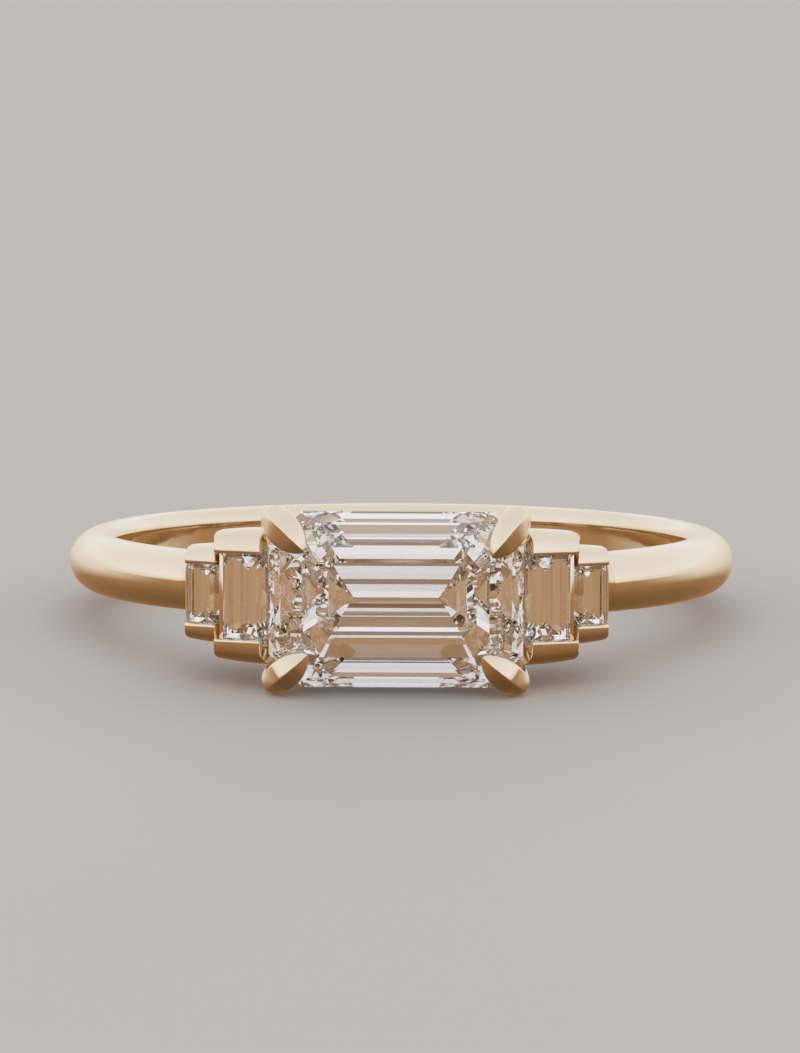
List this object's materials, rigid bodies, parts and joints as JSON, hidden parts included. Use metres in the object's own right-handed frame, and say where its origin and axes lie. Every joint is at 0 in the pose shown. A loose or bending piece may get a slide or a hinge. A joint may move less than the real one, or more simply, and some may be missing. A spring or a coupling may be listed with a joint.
{
  "type": "engagement ring",
  "caption": "Finger ring with a step-cut centre stone in ridged corner claws, flanked by stepped baguettes held by end bars, on a slim round-shouldered gold band.",
  "frame": {"origin": "centre of the finger hole, halfway across the band's width", "axes": "+Z along the finger hole's axis; -Y points from the finger to the face of the centre stone; +X to the right as the stones are looked at"},
  "size_m": [0.019, 0.0223, 0.0052],
  "materials": {
    "yellow_gold": "polished",
    "diamond": "polished"
  },
  "bodies": {
    "root": {"shank": "yellow_gold", "gallery_bridge": "yellow_gold", "head_base_rail": "yellow_gold", "head_gallery_rail": "yellow_gold", "claw_upper_left": "yellow_gold", "claw_upper_right": "yellow_gold", "claw_lower_left": "yellow_gold", "claw_lower_right": "yellow_gold", "seat_inner_left": "yellow_gold", "seat_inner_right": "yellow_gold", "seat_outer_left": "yellow_gold", "seat_outer_right": "yellow_gold", "bar_inner_left_upper": "yellow_gold", "bar_inner_left_lower": "yellow_gold", "bar_inner_right_upper": "yellow_gold", "bar_inner_right_lower": "yellow_gold", "bar_outer_left_upper": "yellow_gold", "bar_outer_left_lower": "yellow_gold", "bar_outer_right_upper": "yellow_gold", "bar_outer_right_lower": "yellow_gold", "center_stone": "diamond", "baguette_inner_left": "diamond", "baguette_inner_right": "diamond", "baguette_outer_left": "diamond", "baguette_outer_right": "diamond"}
  },
  "joints": []
}
